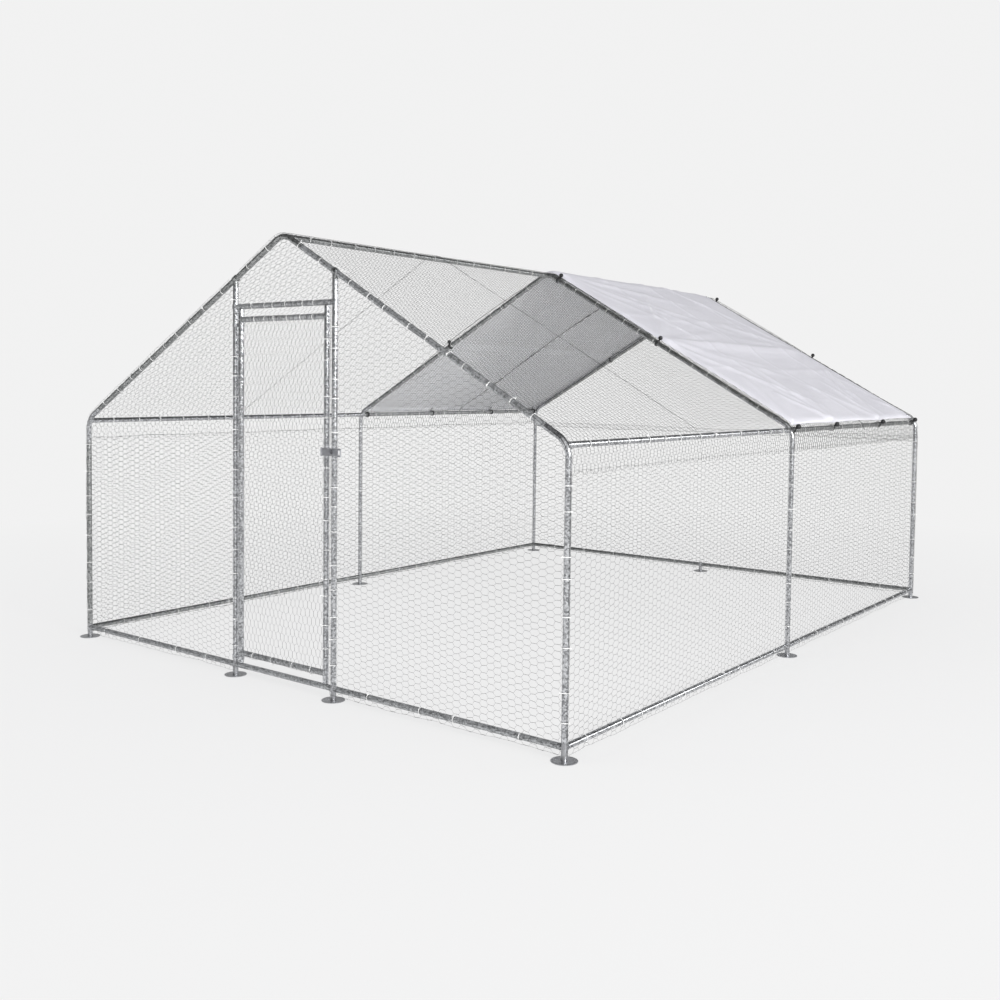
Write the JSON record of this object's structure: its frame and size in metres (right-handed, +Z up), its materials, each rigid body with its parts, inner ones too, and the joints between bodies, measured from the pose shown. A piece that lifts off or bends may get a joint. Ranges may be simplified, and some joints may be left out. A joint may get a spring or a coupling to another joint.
{
  "type": "chicken run",
  "caption": "Walk-in gable-roofed chicken run of plug-together steel tube with hexagonal wire net, a tarp over the rear bay and a hinged door with hasp.",
  "frame": {"origin": "on the ground in the middle of the run's plan", "axes": "+X across the front to the right seen from the door, +Y from the door to the rear, +Z up"},
  "size_m": [3.1, 4.1, 2.0085],
  "materials": {
    "galvanised_tube": "bright galvanised, slightly mottled",
    "feet": "dull galvanised",
    "wire_net": "galvanised wire",
    "fittings": "zinc-plated",
    "tarp": "coated woven sheet, silver-grey outside, grey inside",
    "bungee": "matt black"
  },
  "bodies": {
    "frame": {"post_front_left": "galvanised_tube", "post_front_right": "galvanised_tube", "post_mid_left": "galvanised_tube", "post_mid_right": "galvanised_tube", "post_back_left": "galvanised_tube", "post_back_right": "galvanised_tube", "eave_elbow_front_left": "galvanised_tube", "eave_elbow_front_right": "galvanised_tube", "eave_elbow_mid_left": "galvanised_tube", "eave_elbow_mid_right": "galvanised_tube", "eave_elbow_back_left": "galvanised_tube", "eave_elbow_back_right": "galvanised_tube", "rafter_front_left": "galvanised_tube", "rafter_front_right": "galvanised_tube", "rafter_mid_left": "galvanised_tube", "rafter_mid_right": "galvanised_tube", "rafter_back_left": "galvanised_tube", "rafter_back_right": "galvanised_tube", "ridge_elbow_front": "galvanised_tube", "ridge_elbow_mid": "galvanised_tube", "ridge_elbow_back": "galvanised_tube", "ridge_purlins": "galvanised_tube", "eave_purlin_front_left": "galvanised_tube", "eave_purlin_front_right": "galvanised_tube", "eave_purlin_back_left": "galvanised_tube", "eave_purlin_back_right": "galvanised_tube", "base_rail_front_left": "galvanised_tube", "base_rail_front_right": "galvanised_tube", "base_rail_back_left": "galvanised_tube", "base_rail_back_right": "galvanised_tube", "door_side_rails": "galvanised_tube", "door_threshold": "galvanised_tube", "rear_rails": "galvanised_tube", "corner_feet": "feet", "side_feet": "feet", "door_feet": "feet", "rear_foot": "feet", "door_post_left": "galvanised_tube", "door_post_right": "galvanised_tube", "rafter_clamps": "galvanised_tube", "header_clamps": "galvanised_tube", "door_header": "galvanised_tube", "hinge_clips": "galvanised_tube", "hinge_bolts": "fittings", "hasp_staple": "fittings", "front_nets": "wire_net", "wall_net_left": "wire_net", "wall_net_right": "wire_net", "rear_net": "wire_net", "roof_nets": "wire_net", "tarp": "tarp", "tarp_bungees": "bungee"},
    "door": {"door_hinge_stile": "galvanised_tube", "door_latch_stile": "galvanised_tube", "door_top_rail": "galvanised_tube", "door_low_rail": "galvanised_tube", "door_net": "wire_net", "hasp_clip": "fittings", "hasp_pin": "fittings"},
    "hasp": {"hasp_leaf": "fittings"}
  },
  "joints": [
    {"name": "door_swing", "type": "hinge", "parent": "frame", "child": "door", "pos_m": [-0.281, -2, 0.844], "axis": [0, 0, -1], "range_deg": [0, 100]},
    {"name": "hasp_swing", "type": "hinge", "parent": "door", "child": "hasp", "pos_m": [0.26, -2.0173, 1.055], "axis": [0, 0, -1], "range_deg": [0, 120]}
  ]
}
